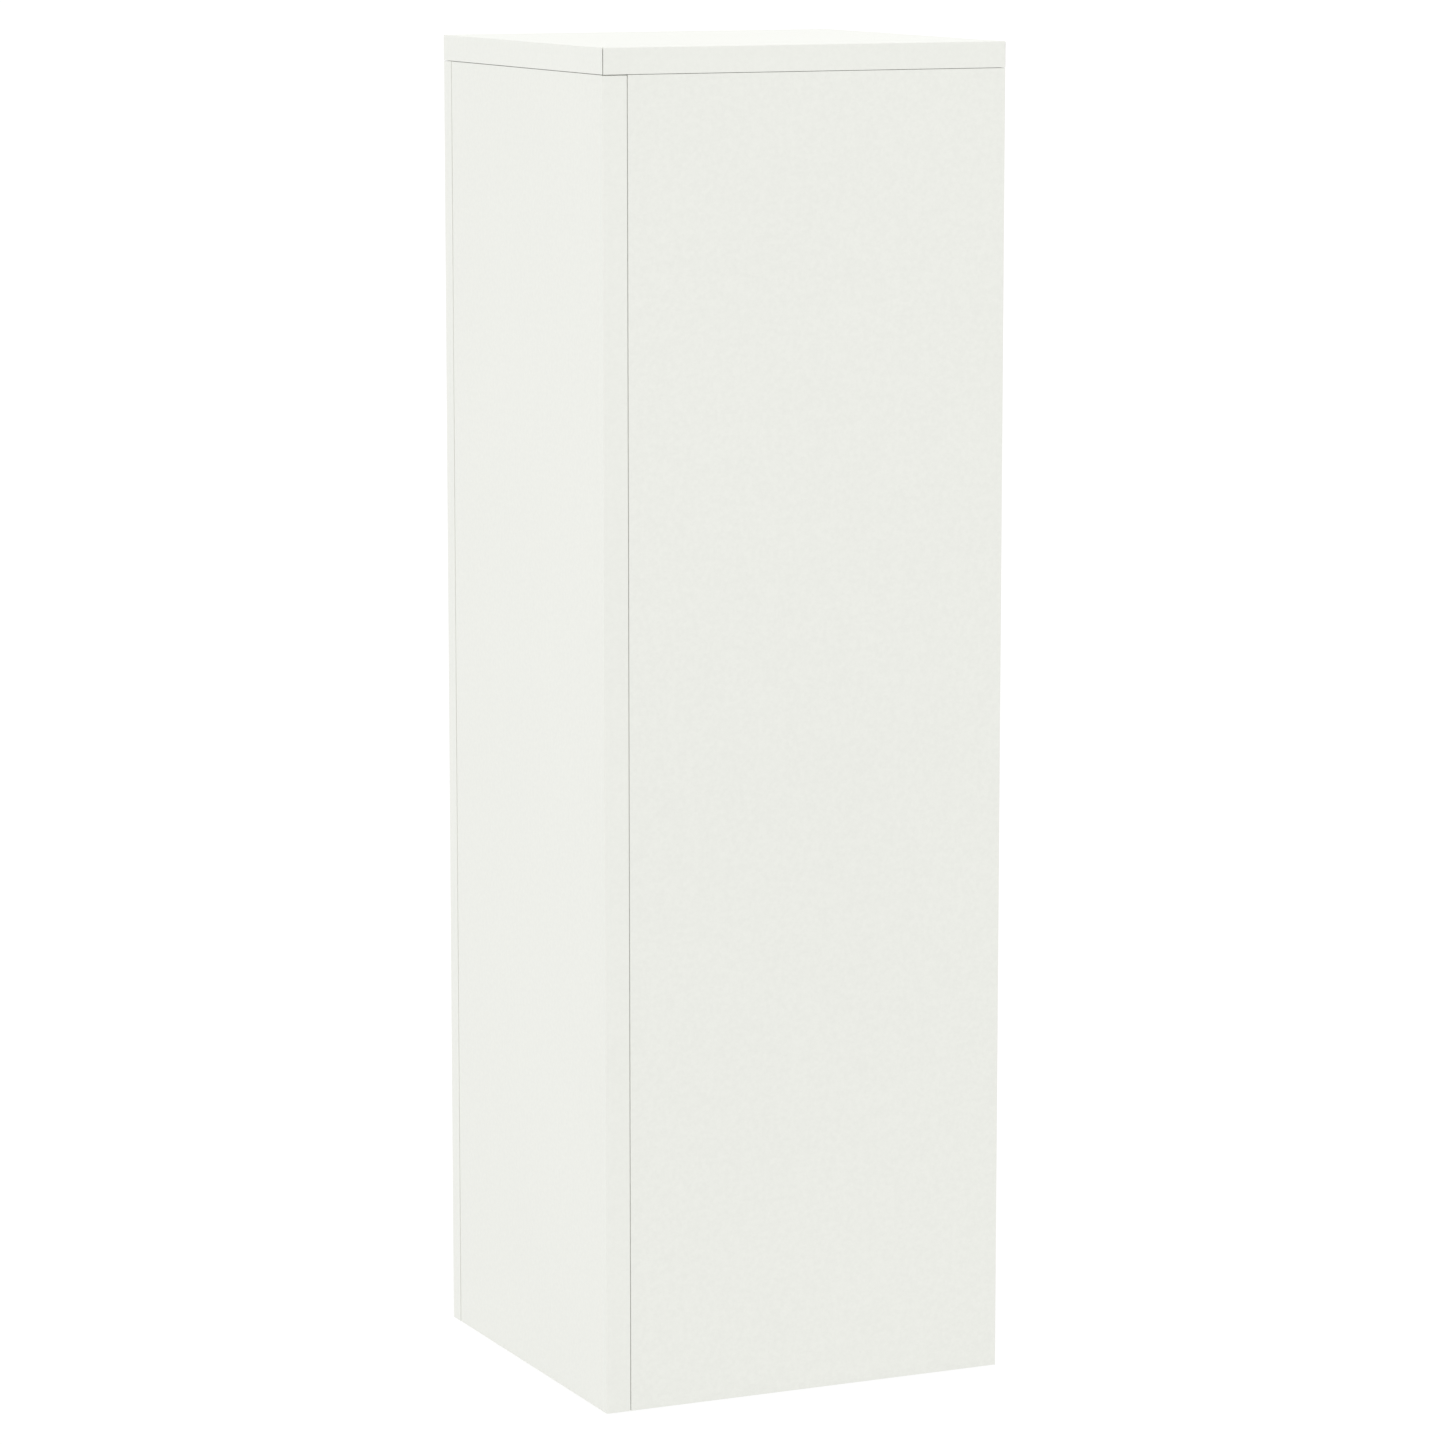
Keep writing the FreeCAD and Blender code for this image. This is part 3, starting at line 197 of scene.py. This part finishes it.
def board_material(name, thin):
    """White melamine all round a board, and raw chipboard with flat-lying chips in its bores."""
    made = Nodes(name + "_melamine")
    low, high = (Vector(corner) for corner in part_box(name))
    offset = made.add("ShaderNodeVectorMath", operation="SUBTRACT")
    made.feed(offset.inputs[0], made.place)
    made.feed(offset.inputs[1], (low + high) / 2)
    spread = made.add("ShaderNodeVectorMath", operation="ABSOLUTE")
    made.feed(spread.inputs[0], offset.outputs[0])
    split = made.add("ShaderNodeSeparateXYZ")
    made.feed(split.inputs[0], spread.outputs[0])
    near_x, near_y, near_z = (
        made.math("GREATER_THAN", distance, half - SEALED)
        for distance, half in zip(split.outputs, (high - low) / 2)
    )
    faced = made.math("MAXIMUM", made.math("MAXIMUM", near_x, near_y), near_z)

    cloud = made.noise(3.0)
    pearl = made.noise(330.0, rough=0.6)
    peel = made.noise(260.0, detail=1.0, rough=0.4)
    white = made.tint(WHITE, cloud, 0.994, 1.006)
    white = made.tint(white, pearl, 0.98, 1.02)

    flat = [2.5 if axis == thin else 1.0 for axis in AXES]
    chips = made.add("ShaderNodeTexVoronoi", feature="F1")
    made.feed(chips.inputs["Vector"], made.stretched(flat))
    chips.inputs["Scale"].default_value = 420.0
    grain = made.noise(1400.0, detail=3.0, rough=0.7)
    chip = made.mix(chips.outputs["Color"], CHIP_DARK, CHIP_LIGHT)
    chip = made.tint(chip, grain, 0.8, 1.15)

    colour = made.mix(faced, chip, white)
    smooth = made.ramp(pearl, 0.36, 0.46)
    smoother = made.math("MULTIPLY", faced, made.math("SUBTRACT", CHIP_ROUGH, smooth))
    rough = made.math("SUBTRACT", CHIP_ROUGH, smoother)
    normal = made.bump(peel, distance=0.00004, strength=0.5)
    normal = made.bump(pearl, distance=0.00002, strength=0.5, under=normal)
    return made.finish(colour, rough, normal)


def band_material():
    """White plastic edge band, smoother than the board, with faint upright scraper lines."""
    made = Nodes("edge_band_abs")
    cloud = made.noise(8.0)
    grain = made.noise(330.0, rough=0.6)
    lines = made.noise(240.0, stretch=(1.0, 1.0, 0.02))
    colour = made.tint(BAND_WHITE, cloud, 0.992, 1.006)
    colour = made.tint(colour, grain, 0.986, 1.014)
    rough = made.ramp(lines, 0.30, 0.40)
    normal = made.bump(lines, distance=0.00002, strength=0.5)
    normal = made.bump(grain, distance=0.000015, strength=0.4, under=normal)
    return made.finish(colour, rough, normal)


# ---------------------------------------------------------------- hardware

def metal_material(name, colour, rough, brush=None):
    """Plated or cast metal with fine marks, small spots and uneven gloss."""
    made = Nodes(name)
    marks = made.noise(1500.0, detail=3.0, rough=0.6, stretch=brush)
    spots = made.noise(180.0, detail=3.0, rough=0.6)
    shade = made.tint(colour, marks, 0.97, 1.02)
    shade = made.tint(shade, spots, 0.96, 1.02)
    gloss = made.ramp(marks, rough - 0.05, rough + 0.07)
    normal = made.bump(marks, distance=0.000006, strength=0.5)
    return made.finish(shade, gloss, normal, metallic=1.0)


def plastic_material(name, colour, rough):
    """Moulded plastic with a fine spark-eroded texture."""
    made = Nodes(name)
    grain = made.noise(1500.0, rough=0.6)
    flow = made.noise(60.0)
    shade = made.tint(colour, flow, 0.96, 1.03)
    gloss = made.ramp(grain, rough - 0.06, rough + 0.06)
    normal = made.bump(grain, distance=0.00004, strength=0.6)
    return made.finish(shade, gloss, normal)


def beech_material():
    """Beech dowels with short dark flecks along the grain."""
    made = Nodes("beech")
    grain = made.noise(300.0, detail=4.0, rough=0.6, stretch=(0.15, 1.0, 1.0))
    flecks = made.noise(1200.0, stretch=(0.1, 1.0, 1.0))
    colour = made.mix(made.ramp(flecks, 0.0, 1.0, start=0.55, end=0.75), BEECH, BEECH_DARK)
    colour = made.tint(colour, grain, 0.88, 1.08)
    normal = made.bump(grain, distance=0.0001, strength=0.6)
    return made.finish(colour, 0.62, normal)


# The boards, each with the axis of its thickness
BOARDS = {
    "top_panel": "Z",
    "left_side_panel": "X",
    "right_side_panel": "X",
    "back_panel": "Y",
    "bottom_panel": "Z",
    "middle_shelf": "Z",
    "lower_shelf": "Z",
    "upper_shelf": "Z",
    "door_panel": "Y",
}
for board, thin in BOARDS.items():
    dress(board_material(board, thin), board)
dress(band_material(), *[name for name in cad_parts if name.endswith("_band")])
dress(
    metal_material("nickel_plate", NICKEL, 0.24, (1.0, 1.0, 0.15)),
    "hinge_cups", "outer_links", "inner_links", "hinge_arms",
)
dress(
    metal_material("zinc_plate", STEEL, 0.30, (1.0, 0.2, 1.0)),
    "cam_bolts", "shelf_pins", "back_screws", "glide_nails", "plate_screws", "arm_screws",
    "latch_screws", "latch_spring", "cup_screws", "strike_plate", "strike_screw", "arm_pins",
    "cup_pins",
)
dress(metal_material("zinc_casting", ZINC, 0.42), "cam_housings", "mounting_plates")
dress(metal_material("magnet", MAGNET_GREY, 0.35), "latch_magnet")
dress(beech_material(), "wood_dowels")
dress(plastic_material("glide_plastic", GLIDE_GREY, 0.5), "glides")
dress(plastic_material("latch_plastic", LATCH_GREY, 0.45), "latch_case", "latch_plunger")


# ---------------------------------------------------------------- latch spring

def make_spring():
    """The latch's spring, as its own copy carried by the cabinet, in place of the CAD spring."""
    coil = bpy.data.objects.new("latch_spring_coil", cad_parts["latch_spring"].data.copy())
    bpy.context.scene.collection.objects.link(coil)
    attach(coil, "cabinet")
    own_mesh(coil)
    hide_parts("latch_spring")


# ---------------------------------------------------------------- studio

def make_floor():
    """A large pale shooting table lit from below, with a very faint paper-like grain."""
    bpy.ops.mesh.primitive_circle_add(
        vertices=96, radius=60 * HEIGHT, fill_type="NGON", location=(0, 0, LOW.z))
    floor = bpy.context.object
    floor.name = "studio_floor"
    made = Nodes("studio_paper")
    fibre = made.noise(40.0, detail=3.0)
    colour = made.tint(TABLE_WHITE, fibre, 0.995, 1.005)
    floor.data.materials.append(made.finish(colour, 0.9, specular=0.1))
    made.shader.inputs["Emission Color"].default_value = (1.0, 1.0, 1.0, 1)
    made.shader.inputs["Emission Strength"].default_value = TABLE_GLOW


def add_softbox(name, offset, size, power):
    """A square area light that faces the cabinet; its offset and size are in cabinet heights."""
    middle = (LOW + HIGH) / 2
    place = middle + Vector(offset) * HEIGHT
    light = bpy.data.lights.new(name, "AREA")
    light.size = size * HEIGHT
    light.energy = power
    lamp = bpy.data.objects.new(name, light)
    lamp.location = place
    lamp.rotation_mode = "QUATERNION"
    lamp.rotation_quaternion = (middle - place).to_track_quat("-Z", "Y")
    bpy.context.scene.collection.objects.link(lamp)


def make_light():
    """An even white surround with a soft overhead box and a weaker one from the left."""
    world = bpy.data.worlds.new("studio")
    world.use_nodes = True
    surround = world.node_tree.nodes["Background"]
    surround.inputs["Color"].default_value = (1.0, 1.0, 1.0, 1)
    surround.inputs["Strength"].default_value = SURROUND_GLOW
    bpy.context.scene.world = world
    add_softbox("overhead", (0, -0.2, 2.6), 2.4, OVERHEAD_POWER)
    add_softbox("left_box", (-3.0, -0.6, 0.6), 1.8, LEFT_POWER)


# ---------------------------------------------------------------- camera

CAMERA_AZIMUTH = math.radians(-24.7)
CAMERA_ELEVATION = math.radians(9.0)
CAMERA_DISTANCE = 4.20          # in cabinet heights
CAMERA_AIM_HEIGHT = 0.484       # height of the point aimed at, in cabinet heights
CAMERA_AIM_ASIDE = (0.0025, 0.001)  # its place in X and Y, in metres
CAMERA_SENSOR = 36              # mm
CAMERA_LENS = 137.9             # mm


def make_camera():
    """A long-lens camera in front of the cabinet's left edge, looking slightly down."""
    back = Vector((
        math.sin(CAMERA_AZIMUTH) * math.cos(CAMERA_ELEVATION),
        -math.cos(CAMERA_AZIMUTH) * math.cos(CAMERA_ELEVATION),
        math.sin(CAMERA_ELEVATION),
    ))
    data = bpy.data.cameras.new("camera")
    data.sensor_width = CAMERA_SENSOR
    data.lens = CAMERA_LENS
    data.clip_end = 200 * HEIGHT
    camera = bpy.data.objects.new("camera", data)
    aim = Vector((*CAMERA_AIM_ASIDE, LOW.z + CAMERA_AIM_HEIGHT * HEIGHT))
    camera.location = aim + back * CAMERA_DISTANCE * HEIGHT
    camera.rotation_mode = "QUATERNION"
    camera.rotation_quaternion = (-back).to_track_quat("-Z", "Y")
    bpy.context.scene.collection.objects.link(camera)
    bpy.context.scene.camera = camera


make_spring()
make_floor()
make_light()
make_camera()
bpy.context.scene.view_settings.view_transform = "Standard"
bpy.context.scene.view_settings.look = "None"
